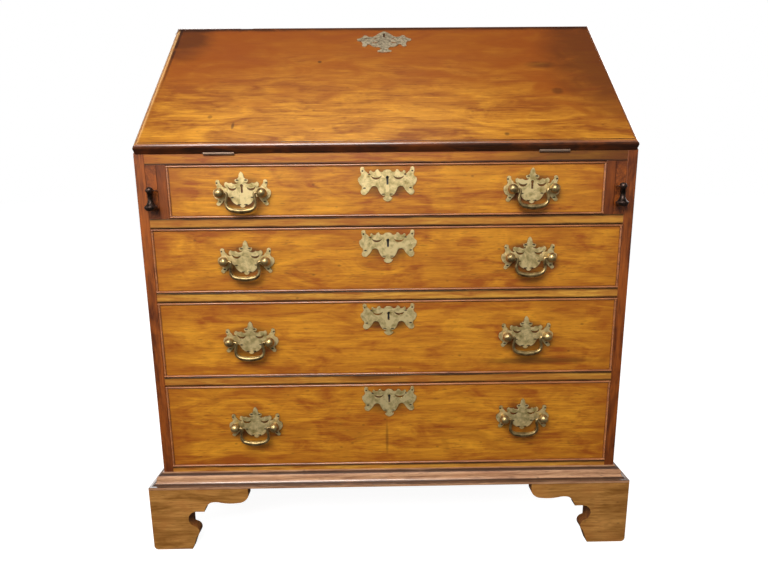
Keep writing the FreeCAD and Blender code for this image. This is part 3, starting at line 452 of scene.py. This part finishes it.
def dressed(node, name, arris, material, flat=2.0, shortest=0.0, even=True, others=(), picks=None, dents=()):
    """Piece that stands for a node: its shape with worn edges rounded and any dents cut in.

    Faces that turn by less than flat, in degrees, are merged first, and edges under shortest stay keen. With
    others beside the first material, picks gives a face's finish from its middle and its normal.
    """
    whole = bmesh.new()
    for faces in solids_of(frame["nodes"][node].data):
        solid = eased(faces, flat, arris, shortest)
        whole.from_mesh(solid)
        bpy.data.meshes.remove(solid)
    mesh = bpy.data.meshes.new(name)
    whole.to_mesh(mesh)
    whole.free()
    piece = bpy.data.objects.new(name, mesh)
    bpy.context.scene.collection.objects.link(piece)
    for place, radii in dents:
        cut_dent(piece, place, radii)
    mesh = piece.data
    mesh.set_sharp_from_angle(angle=CREASE)
    for finish in (material, *others):
        mesh.materials.append(finish)
    for face in mesh.polygons:
        face.use_smooth = face.area < WIDE
        if others:
            face.material_index = picks(face.center, face.normal)
    if arris and even:
        piece.modifiers.new("even shading", "WEIGHTED_NORMAL").keep_sharp = True
    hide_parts(node)
    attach(piece, frame["nodes"][node]["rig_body"])


def lies_flat(place, normal):
    """Index of the second finish on level faces, of the first on the rest."""
    return int(abs(normal.z) > LEVEL)


def both_sides(punches, x, y, z, half):
    """Places of a plate's punched hollows to the left and right of its middle, half being its half width."""
    return [(x + turn * u * half, y, z + v * half, half_u * half, half_v * half)
            for u, v, half_u, half_v in punches for turn in (-1, 1)]


def punched(name, places, body, material):
    """Dirt that fills punched hollows in a front, from the place, half width and half height of each."""
    shape = bmesh.new()
    for x, y, z, half_x, half_z in places:
        stretch = Matrix.LocRotScale(Vector((x, y, z)), None, Vector((half_x, PUNCH_DEPTH, half_z)))
        bmesh.ops.create_uvsphere(shape, u_segments=16, v_segments=8, radius=1.0, matrix=stretch)
    for face in shape.faces:
        face.smooth = True
    mesh = bpy.data.meshes.new(name)
    shape.to_mesh(mesh)
    shape.free()
    mesh.materials.append(material)
    piece = bpy.data.objects.new(name, mesh)
    bpy.context.scene.collection.objects.link(piece)
    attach(piece, body)


class BUREAU_OT_case(bpy.types.Operator):
    """Sides, top, bed, rails, partitions and the boards behind and below them"""
    bl_idname = "bureau.case"
    bl_label = "Dress Case"

    def execute(self, context):
        wood = context.scene.bureau_wood
        sizes = context.scene.bureau_sizes
        arris = sizes.board_arris
        for index, side in enumerate(SIDES):
            finish = polished_wood(f"fruitwood_side_{side}", wood.case_light, wood.case_dark, "z",
                                   shift=3.1 + index)
            dressed(f"side_{side}", f"case_side_{side}", arris, finish)
        top = polished_wood("fruitwood_top", wood.case_light, wood.case_dark, shift=5.3)
        dressed("top_board", "case_top", arris, top)
        marks = list(RAIL_MARKS)
        # Painted shade on the rails along the gaps above and below each drawer's beads
        for index in DRAWERS:
            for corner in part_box(f"drawer_{index}_cockbeads"):
                marks.append((0.0, corner[2], ALONG, sizes.rail_shade, 0.9, "grime_and_shade"))
        rail = polished_wood("fruitwood_rail", wood.rail_light, wood.rail_dark, shift=7.7, figure_mm=14,
                             gloss=0.34, marks=marks)
        bed = polished_wood("fruitwood_bed", wood.front_light, wood.front_dark, shift=8.4, figure_mm=14,
                            gloss=0.40, marks=marks)
        bed_top = polished_wood("fruitwood_bed_top", wood.front_light, wood.front_dark, shift=8.9,
                                figure_mm=40, gloss=0.40, ends=0.3)
        dressed("writing_bed", "case_bed", arris / 2, bed, shortest=20 * MM, others=(bed_top,),
                picks=lies_flat)
        dressed("drawer_rails", "case_rails", arris / 2, rail, shortest=20 * MM)
        dressed("bottom_board", "case_bottom", arris / 2, rail)
        upright = polished_wood("fruitwood_partition", wood.case_light, wood.case_dark, "z", shift=9.2)
        dressed("loper_partitions", "case_partitions", arris / 2, upright)
        dressed("drawer_runners", "case_runners", arris, dry_wood("pine_deep", "y", shift=2.2))
        low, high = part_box("back_boards")
        middle = (low[2] + high[2]) / 2
        width = high[0] - low[0]
        seams = [(low[0] + width * index / BACK_BOARDS, middle, sizes.back_seam, ALONG, 0.95, "grime_and_shade")
                 for index in range(1, BACK_BOARDS)]
        dressed("back_boards", "case_back", arris, dry_wood("pine_upright", "z", shift=4.6, marks=seams))
        return {"FINISHED"}


class BUREAU_OT_base(bpy.types.Operator):
    """Base moulding and bracket feet"""
    bl_idname = "bureau.base"
    bl_label = "Dress Base"

    def execute(self, context):
        wood = context.scene.bureau_wood
        sizes = context.scene.bureau_sizes
        low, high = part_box("base_moulding")
        fascia_top = low[2] + sizes.strip_fascia
        hollow_top = high[2] - sizes.strip_fillet
        round_top = (fascia_top + hollow_top) / 2
        # Painted shade in the corners above the fascia and below the fillet
        corner_shade_lines = [(0.0, z, ALONG, sizes.strip_shade, 0.9, "grime_and_shade") for z in (fascia_top + MM, hollow_top - MM)]
        strip = polished_wood("fruitwood_moulding", wood.strip_light, wood.strip_dark, shift=11.9,
                              figure_mm=12, gloss=0.3, ends=0.1, marks=corner_shade_lines, coat=1.0)
        dull = polished_wood("fruitwood_hollow", wood.strip_light, wood.strip_dark, shift=11.9,
                             figure_mm=12, gloss=0.55, ends=0.1, marks=corner_shade_lines)

        def strip_finish(place, normal):
            """Dull in the hollow, which polishing misses, and bright elsewhere."""
            return int(round_top < place.z < hollow_top)

        dressed("base_moulding", "base_moulding_strips", sizes.small_arris, strip, flat=6.0, shortest=20 * MM,
                others=(dull,), picks=strip_finish)
        face = polished_wood("fruitwood_foot", wood.foot_light, wood.foot_dark, shift=14.2, figure_mm=20,
                             gloss=0.42, ends=0.3)
        sawn = polished_wood("fruitwood_sawn", wood.foot_dark, wood.case_dark, shift=15.8, figure_mm=12,
                             gloss=0.7, ends=0.0)
        foot_low, foot_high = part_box("bracket_feet")

        def foot_finish(place, normal):
            """Polished outside, sawn in the scrolls and behind."""
            beside = place.x < foot_low[0] + MM or place.x > foot_high[0] - MM
            return 0 if beside or place.y < foot_low[1] + MM else 1

        dressed("bracket_feet", "base_feet", sizes.small_arris, face, even=False, others=(sawn,),
                picks=foot_finish)
        return {"FINISHED"}


class BUREAU_OT_fall(bpy.types.Operator):
    """Fall with its escutcheon and hinges"""
    bl_idname = "bureau.fall"
    bl_label = "Dress Fall"

    def execute(self, context):
        wood = context.scene.bureau_wood
        metal = context.scene.bureau_metal
        sizes = context.scene.bureau_sizes
        low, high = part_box("fall_board")
        painted_rim = sizes.fall_rim_light_and_shade
        middle = (low[2] + high[2]) / 2
        # The left end has a painted highlight, a pale line between two lines of painted shade; the right end
        # and the top have a line of painted shade each
        rim_light_and_shade = [(low[0] + painted_rim, high[2], 0.8 * painted_rim, 0.5, 0.6, "scratch_and_highlight"),
                (low[0], middle, 0.8 * painted_rim, UPWARD, 0.9, "grime_and_shade"),
                (low[0] + 2 * painted_rim, high[2], 0.6 * painted_rim, 0.2, 0.7, "grime_and_shade"),
                (high[0], middle, 1.4 * painted_rim, UPWARD, 0.9, "grime_and_shade"),
                (0.0, high[2], ALONG, 1.8 * painted_rim, 0.9, "grime_and_shade")]
        finish = polished_wood("fruitwood_fall", wood.fall_light, wood.fall_dark, shift=13.3, figure_mm=42,
                               gloss=0.33, ends=0.4, marks=list(FALL_MARKS) + rim_light_and_shade)
        # The moulding's upper side gets a lighter wood as painted light, its under side, right end and top a
        # darker one down to grime as painted shade
        edge = polished_wood("fruitwood_fall_edge_lit", wood.edge_light, wood.edge_dark, shift=13.9, figure_mm=12,
                             gloss=0.26, ends=0.0, coat=0.8)
        inside = polished_wood("fruitwood_fall_inside", wood.fall_light, wood.fall_dark, shift=16.3,
                               figure_mm=42, gloss=0.38, ends=0.4)
        painted_shade_under = polished_wood("fruitwood_fall_edge_shaded", wood.edge_dark, wood.grime_and_shade, shift=14.9, figure_mm=12,
                              gloss=0.36, ends=0.0)
        leaf = frame["nodes"]["fall_board"].data
        outward = max(leaf.polygons, key=lambda face: face.area).normal.copy()
        across, forward, upward = DENT_PLACE
        dent = (Vector((across, high[1] - forward, high[2] + upward)), DENT_RADII)

        def fall_finish(place, normal):
            """Face and the left end first, the left end as painted light; then the moulding's upper side,
            painted lit, its under side and the other edges, painted shade, and the inside.
            """
            facing = normal.dot(outward)
            if facing > IN_PLANE or normal.x < -LEFTWARD:
                return 0
            if facing < -IN_PLANE:
                return 3
            return 1 if normal.z > SKYWARD and normal.y < 0 else 2

        dressed("fall_board", "fall_leaf", sizes.small_arris, finish, flat=6.0, shortest=30 * MM,
                others=(edge, painted_shade_under, inside), picks=fall_finish, dents=(dent,))
        brass = worn_metal("brass_fall_plate", metal.worn, metal.worn_dark, roughness=0.44, patch_mm=5,
                           metallic=0.7)
        dressed("fall_escutcheon", "fall_plate", sizes.brass_arris, brass, flat=6.0)
        hinge = worn_metal("brass_hinge", metal.hinge, metal.cast_dark, roughness=0.45, patch_mm=9,
                           metallic=0.6)
        dressed("fall_hinge_leaves", "fall_hinges", 0, hinge)
        dressed("case_hinge_leaves", "case_hinges", 0, hinge)
        return {"FINISHED"}


class BUREAU_OT_drawers(bpy.types.Operator):
    """Drawer fronts, cock beads and boxes"""
    bl_idname = "bureau.drawers"
    bl_label = "Dress Drawers"

    def execute(self, context):
        wood = context.scene.bureau_wood
        sizes = context.scene.bureau_sizes
        bead = polished_wood("fruitwood_bead", wood.bead_light, wood.bead_dark, shift=17.1, figure_mm=12,
                             gloss=0.26, ends=0.0, coat=1.0)
        box_wood = dry_wood("pine_drawer", "y", shift=6.6)
        painted_rim = sizes.bead_shade
        for index in DRAWERS:
            marks = list(DRAWER_MARKS[index])
            # Dirt round each plate, and painted shadow at its edges
            for side in SIDES:
                low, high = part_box(f"drawer_{index}_bail_{side}")
                marks.append(((low[0] + high[0]) / 2, high[2] - sizes.handle_middle, sizes.plate_dirt_and_shade,
                              sizes.handle_dirt_and_shade, 0.8, "grime_and_shade"))
            low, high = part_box(f"drawer_{index}_front")
            marks.append((0.0, high[2] - sizes.lock_middle, sizes.plate_dirt_and_shade, sizes.lock_dirt_and_shade, 0.8,
                          "grime_and_shade"))
            # Painted shade along the edges of each front, where the beads and their gaps cast shade
            for z in (low[2], high[2]):
                marks.append((0.0, z, ALONG, painted_rim, 0.9, "grime_and_shade"))
            for x in (low[0], high[0]):
                marks.append((x, (low[2] + high[2]) / 2, painted_rim, UPWARD, 0.9, "grime_and_shade"))
            front = polished_wood(f"fruitwood_drawer_{index}", wood.front_light, wood.front_dark,
                                  shift=19.0 + 2.37 * index, figure_mm=36, gloss=0.38, marks=marks)
            dressed(f"drawer_{index}_front", f"drawer_{index}_board", sizes.small_arris, front,
                    shortest=30 * MM)
            dressed(f"drawer_{index}_cockbeads", f"drawer_{index}_beads", 0, bead)
            dressed(f"drawer_{index}_box", f"drawer_{index}_tray", sizes.small_arris, box_wood)
        return {"FINISHED"}


class BUREAU_OT_brasses(bpy.types.Operator):
    """Handle plates, posts, bails and escutcheons of the drawers"""
    bl_idname = "bureau.brasses"
    bl_label = "Dress Brasses"

    def execute(self, context):
        metal = context.scene.bureau_metal
        sizes = context.scene.bureau_sizes
        plate = worn_metal("brass_plate", metal.brass, metal.tarnish, roughness=0.40, patch_mm=9,
                           metallic=0.7)
        cast = worn_metal("brass_cast", metal.cast, metal.cast_dark, roughness=0.33, patch_mm=12,
                          metallic=0.9)
        # Old polish in the punched hollows, and painted shadow along the plates' pierced edges
        dirt_and_shade = worn_metal("brass_dirt_and_edge_shade", metal.cast_dark, metal.dirt_and_shade, roughness=0.6, patch_mm=4,
                          metallic=0.3)
        for index in DRAWERS:
            plate_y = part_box(f"drawer_{index}_front")[0][1] - sizes.plate_thickness

            def brass_finish(place, normal, plate_y=plate_y):
                """Plates first, then the posts that stand before them, then the plates' pierced edges, dark
                with old polish and painted shadow.
                """
                if place.y < plate_y - MM:
                    return 1
                return 2 if abs(normal.y) < EDGEWISE else 0

            dressed(f"drawer_{index}_brass", f"drawer_{index}_plates", sizes.brass_arris, plate, flat=6.0,
                    others=(cast, dirt_and_shade), picks=brass_finish)
            hollows = []
            for side in SIDES:
                dressed(f"drawer_{index}_bail_{side}", f"drawer_{index}_handle_{side}", 0, cast)
                low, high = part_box(f"drawer_{index}_bail_{side}")
                hollows += both_sides(HANDLE_PUNCHES, (low[0] + high[0]) / 2, plate_y,
                                      high[2] - sizes.bail_top, sizes.handle_plate / 2)
            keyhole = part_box(f"drawer_{index}_cockbeads")[1][2] - sizes.keyhole_drop
            hollows += both_sides(ESCUTCHEON_PUNCHES, 0.0, plate_y, keyhole, sizes.escutcheon / 2)
            punched(f"drawer_{index}_punches", hollows, f"drawer_{index}", dirt_and_shade)
        return {"FINISHED"}


class BUREAU_OT_locks(bpy.types.Operator):
    """Locks and their bolts"""
    bl_idname = "bureau.locks"
    bl_label = "Dress Locks"

    def execute(self, context):
        metal = context.scene.bureau_metal
        arris = context.scene.bureau_sizes.small_arris
        steel = worn_metal("steel_lock", metal.steel, metal.cast_dark, roughness=0.42, patch_mm=8)
        for owner in [f"drawer_{index}" for index in DRAWERS] + ["fall"]:
            dressed(f"{owner}_lock", f"{owner}_lock_case", arris, steel)
            dressed(f"{owner}_lock_bolt", f"{owner}_bolt", arris, steel)
        return {"FINISHED"}


class BUREAU_OT_lopers(bpy.types.Operator):
    """Lopers with their staples and drop pulls"""
    bl_idname = "bureau.lopers"
    bl_label = "Dress Lopers"

    def execute(self, context):
        wood = context.scene.bureau_wood
        metal = context.scene.bureau_metal
        finish = polished_wood("fruitwood_loper", wood.case_light, wood.case_dark, "y", shift=31.7)
        bronze = worn_metal("bronze_drop", metal.bronze, metal.dirt_and_shade, roughness=0.3, patch_mm=7)
        for side in SIDES:
            dressed(f"loper_{side}", f"loper_{side}_bar", 0, finish)
            dressed(f"loper_{side}_staple", f"loper_{side}_wire", 0, bronze)
            dressed(f"loper_{side}_drop", f"loper_{side}_pull", 0, bronze)
        return {"FINISHED"}


class BUREAU_OT_gallery(bpy.types.Operator):
    """Pigeonholes and pen drawers behind the fall"""
    bl_idname = "bureau.gallery"
    bl_label = "Dress Gallery"

    def execute(self, context):
        wood = context.scene.bureau_wood
        arris = context.scene.bureau_sizes.small_arris
        inner = polished_wood("fruitwood_gallery", wood.front_light, wood.case_dark, "z", shift=41.3,
                              figure_mm=20, gloss=0.42, ends=0.2)
        shelf = polished_wood("fruitwood_shelf", wood.front_light, wood.case_dark, shift=42.1,
                              figure_mm=20, gloss=0.42, ends=0.2)
        dressed("gallery", "pigeonholes", arris, inner, flat=6.0, shortest=4 * MM, others=(shelf,),
                picks=lies_flat)
        pen = polished_wood("fruitwood_pen_drawer", wood.front_light, wood.front_dark, shift=43.9,
                            figure_mm=18, gloss=0.38, ends=0.3)
        for index in PEN_DRAWERS:
            dressed(f"pen_drawer_{index}", f"pen_tray_{index}", arris, pen, flat=6.0, shortest=4 * MM)
        return {"FINISHED"}


class BUREAU_OT_stage(bpy.types.Operator):
    """Floor, soft light and camera"""
    bl_idname = "bureau.stage"
    bl_label = "Set Stage"

    def execute(self, context):
        scene = context.scene
        stage = scene.bureau_stage
        scene.view_settings.view_transform = "Standard"
        material, tree = new_material("studio_floor")
        finish_material(tree, add(tree, "ShaderNodeBsdfPrincipled", {
            "Base Color": stage.floor_tone, "Roughness": 0.9, "Emission Color": WHITE,
            "Emission Strength": stage.floor_glow}))
        mesh = bpy.data.meshes.new("floor")
        corners = [(x * FLOOR_REACH, y * FLOOR_REACH, 0) for x, y in ((-1, -1), (1, -1), (1, 1), (-1, 1))]
        mesh.from_pydata(corners, [], [range(len(corners))])
        mesh.materials.append(material)
        floor = bpy.data.objects.new("floor", mesh)
        floor.visible_diffuse = False
        floor.visible_glossy = False
        scene.collection.objects.link(floor)

        # The wall behind is white to the camera, and what the polish mirrors is a dim room
        world = bpy.data.worlds.new("studio")
        scene.world = world
        world.use_nodes = True
        tree = world.node_tree
        tree.nodes.clear()
        coords = add(tree, "ShaderNodeTexCoord")
        split = add(tree, "ShaderNodeSeparateXYZ", {0: coords.outputs["Generated"]})
        room = add(tree, "ShaderNodeValToRGB", {"Fac": add(tree, "ShaderNodeMapRange", {
            "Value": split.outputs["Z"], "From Min": -1.0}).outputs[0]})
        # Grey levels of the room, at the floor and the ceiling and then at heights between them
        ramp = room.color_ramp
        for end, level in zip(ramp.elements, (0.06, 0.05)):
            end.color = (level, level, level, 1.0)
        for place, level in ((0.42, 0.08), (0.52, 0.42), (0.70, 0.30)):
            ramp.elements.new(place).color = (level, level, level, 1.0)
        path = add(tree, "ShaderNodeLightPath")
        seen = add(tree, "ShaderNodeMix", {0: path.outputs["Is Camera Ray"], 6: room.outputs["Color"],
                                           7: WHITE}, data_type="RGBA")
        sky = add(tree, "ShaderNodeBackground", {"Color": seen.outputs[2]})
        add(tree, "ShaderNodeOutputWorld", {"Surface": sky.outputs[0]})

        # Place, width and height, and power of each soft light
        lamps = {"key": ((-0.45, -1.8, 1.75), (1.2, 0.9), stage.key_power),
                 "front_window": ((-0.35, -2.3, 2.8), (2.4, 1.3), stage.key_power * 0.9),
                 "left_window": ((-2.6, -1.7, 1.6), (1.8, 1.8), stage.key_power * 0.5),
                 "ceiling": ((-0.2, -0.38, 2.5), (1.2, 0.6), stage.key_power * 0.12),
                 "right_back": ((2.6, 1.8, 2.0), (1.8, 1.8), stage.key_power * 1.2),
                 "left_back": ((-2.0, 2.6, 2.2), (1.8, 1.8), stage.key_power)}
        for name, (place, size, power) in lamps.items():
            light = bpy.data.lights.new(name, "AREA")
            light.shape = "RECTANGLE"
            light.size, light.size_y = size
            light.energy = power
            lamp = bpy.data.objects.new(name, light)
            lamp.location = place
            target = Vector((place[0] if name == "ceiling" else 0.0, -0.2, 0.55))
            lamp.rotation_euler = (target - lamp.location).to_track_quat("-Z", "Y").to_euler()
            scene.collection.objects.link(lamp)

        view = bpy.data.cameras.new("camera")
        view.sensor_fit = "HORIZONTAL"
        view.sensor_width = 36.0
        view.lens = stage.lens
        camera = bpy.data.objects.new("camera", view)
        turn = Matrix.Rotation(-stage.yaw, 3, "Z") @ Matrix.Rotation(math.pi / 2 - stage.pitch, 3, "X")
        turn = turn @ Matrix.Rotation(stage.roll, 3, "Z")
        camera.matrix_world = Matrix.Translation(stage.camera_place) @ turn.to_4x4()
        scene.collection.objects.link(camera)
        scene.camera = camera
        return {"FINISHED"}


OPERATORS = (BUREAU_OT_case, BUREAU_OT_base, BUREAU_OT_fall, BUREAU_OT_drawers, BUREAU_OT_brasses,
             BUREAU_OT_locks, BUREAU_OT_lopers, BUREAU_OT_gallery, BUREAU_OT_stage)
GROUPS = {"bureau_wood": BureauWood, "bureau_metal": BureauMetal, "bureau_sizes": BureauSizes,
          "bureau_stage": BureauStage}


class BUREAU_PT_panel(bpy.types.Panel):
    """Lists the steps that dress the bureau"""
    bl_idname = "BUREAU_PT_panel"
    bl_label = "Writing Bureau"
    bl_space_type = "VIEW_3D"
    bl_region_type = "UI"
    bl_category = "Bureau"

    def draw(self, context):
        for name, group in GROUPS.items():
            for field in group.__annotations__:
                self.layout.prop(getattr(context.scene, name), field)
        for operator in OPERATORS:
            self.layout.operator(operator.bl_idname)


def register():
    for name, group in GROUPS.items():
        bpy.utils.register_class(group)
        setattr(bpy.types.Scene, name, bpy.props.PointerProperty(type=group))
    for part in OPERATORS + (BUREAU_PT_panel,):
        bpy.utils.register_class(part)


def unregister():
    for part in reversed(OPERATORS + (BUREAU_PT_panel,)):
        bpy.utils.unregister_class(part)
    for name, group in GROUPS.items():
        delattr(bpy.types.Scene, name)
        bpy.utils.unregister_class(group)


def main():
    register()
    bpy.ops.bureau.case()
    bpy.ops.bureau.base()
    bpy.ops.bureau.fall()
    bpy.ops.bureau.drawers()
    bpy.ops.bureau.brasses()
    bpy.ops.bureau.locks()
    bpy.ops.bureau.lopers()
    bpy.ops.bureau.gallery()
    bpy.ops.bureau.stage()


if __name__ == "__main__":
    main()
